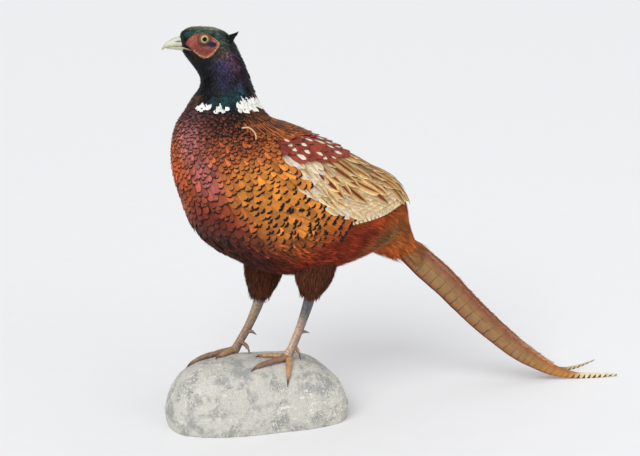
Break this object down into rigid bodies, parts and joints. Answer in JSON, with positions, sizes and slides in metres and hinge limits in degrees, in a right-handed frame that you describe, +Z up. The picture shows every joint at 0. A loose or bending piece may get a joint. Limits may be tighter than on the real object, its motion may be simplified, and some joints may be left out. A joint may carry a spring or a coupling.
{
  "type": "taxidermy pheasant",
  "caption": "Stuffed cock ring-necked pheasant standing on a grey cast rock, head turned a little to its right, long barred tail trailing to the floor.",
  "frame": {"origin": "middle of the rock's flat underside, on the floor", "axes": "+Z up; the bird faces -X and its tail runs to +X; its left side is -Y"},
  "size_m": [0.6125, 0.1447, 0.49],
  "materials": {
    "rock": "matt cast rock, grey with cream plaster",
    "body_plumage": "glossy copper and orange feathers",
    "head_plumage": "glossy dark green feathers",
    "neck_plumage": "glossy purple and blue-green feathers",
    "rump_plumage": "soft rufous feathers",
    "thigh_plumage": "soft dark brown feathers",
    "wing_feathers": "buff and maroon feathers",
    "tail_feathers": "buff feathers with narrow dark bars",
    "wattle": "pebbled red skin",
    "leg_skin": "scaled grey-brown skin",
    "bill": "pale horn",
    "claw": "brown horn",
    "spur": "grey horn",
    "eye": "polished glass eye, yellow iris"
  },
  "bodies": {
    "root": {"base_rock": "rock", "bill_upper": "bill", "bill_lower": "bill", "eye_left": "eye", "wattle_left": "wattle", "ear_tuft_left": "head_plumage", "eye_right": "eye", "wattle_right": "wattle", "ear_tuft_right": "head_plumage", "head": "head_plumage", "neck": "neck_plumage", "trunk": "body_plumage", "rump": "rump_plumage", "wing_left": "wing_feathers", "wing_right": "wing_feathers", "tail_left": "tail_feathers", "tail_right": "tail_feathers", "thigh_left": "thigh_plumage", "shank_left": "leg_skin", "toe_middle_left": "leg_skin", "claw_middle_left": "claw", "toe_inner_left": "leg_skin", "claw_inner_left": "claw", "toe_outer_left": "leg_skin", "claw_outer_left": "claw", "toe_hind_left": "leg_skin", "claw_hind_left": "claw", "spur_left": "spur", "thigh_right": "thigh_plumage", "shank_right": "leg_skin", "toe_middle_right": "leg_skin", "claw_middle_right": "claw", "toe_inner_right": "leg_skin", "claw_inner_right": "claw", "toe_outer_right": "leg_skin", "claw_outer_right": "claw", "toe_hind_right": "leg_skin", "claw_hind_right": "claw", "spur_right": "spur"}
  },
  "joints": []
}
